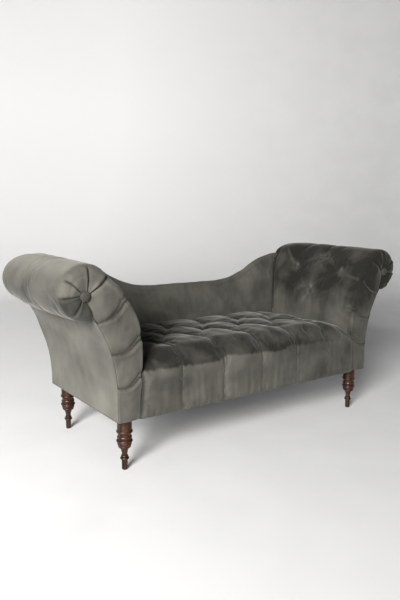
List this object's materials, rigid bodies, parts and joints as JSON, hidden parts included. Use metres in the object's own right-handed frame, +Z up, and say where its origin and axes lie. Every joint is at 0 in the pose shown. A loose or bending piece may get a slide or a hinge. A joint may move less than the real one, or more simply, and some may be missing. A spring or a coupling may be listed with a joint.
{
  "type": "scroll-arm tufted daybed",
  "caption": "Upholstered daybed with two out-swept scroll arms, a low ogee back, a diamond-tufted seat and turned wooden legs.",
  "frame": {"origin": "on the floor, midway between the four feet", "axes": "+X along the length, to the right as seen from the front; -Y towards the front; +Z up"},
  "size_m": [1.936, 0.66, 0.85],
  "materials": {
    "velvet": "matte",
    "velvet_button": "matte",
    "walnut": "gloss",
    "frame_timber": "matte",
    "zinc_steel": "satin",
    "spring_steel": "satin",
    "jute": "matte",
    "twine": "matte",
    "foam": "matte",
    "dust_cloth": "matte",
    "glide_nylon": "matte"
  },
  "bodies": {
    "root": {"front_seat_rail": "frame_timber", "rear_seat_rail": "frame_timber", "left_seat_rail": "frame_timber", "right_seat_rail": "frame_timber", "seat_cross_rails": "frame_timber", "corner_blocks": "frame_timber", "left_front_scroll_board": "frame_timber", "left_rear_scroll_board": "frame_timber", "right_front_scroll_board": "frame_timber", "right_rear_scroll_board": "frame_timber", "left_arm_slats": "frame_timber", "right_arm_slats": "frame_timber", "left_arm_crest_rail": "frame_timber", "right_arm_crest_rail": "frame_timber", "back_crest_rail": "frame_timber", "back_posts": "frame_timber", "back_tack_rails": "frame_timber", "frame_dowels": "frame_timber", "block_screws": "zinc_steel", "seat_springs": "spring_steel", "spring_clips": "zinc_steel", "spring_tie_wires": "spring_steel", "seat_hessian": "jute", "left_arm_hessian": "jute", "right_arm_hessian": "jute", "back_hessian": "jute", "seat_edge_roll": "jute", "seat_pad": "foam", "left_arm_pad": "foam", "right_arm_pad": "foam", "back_pad": "foam", "seat_cover": "velvet", "left_arm_cover": "velvet", "right_arm_cover": "velvet", "left_outer_arm_panel": "velvet", "right_outer_arm_panel": "velvet", "back_inner_cover": "velvet", "back_outer_panel": "velvet", "dust_cover": "dust_cloth", "seat_buttons": "velvet_button", "seat_button_twines": "twine", "left_arm_buttons": "velvet_button", "right_arm_buttons": "velvet_button", "left_scroll_button": "velvet_button", "right_scroll_button": "velvet_button", "front_left_leg": "walnut", "front_right_leg": "walnut", "rear_left_leg": "walnut", "rear_right_leg": "walnut", "leg_plates": "zinc_steel", "hanger_bolts": "zinc_steel", "foot_glides": "glide_nylon"}
  },
  "joints": []
}
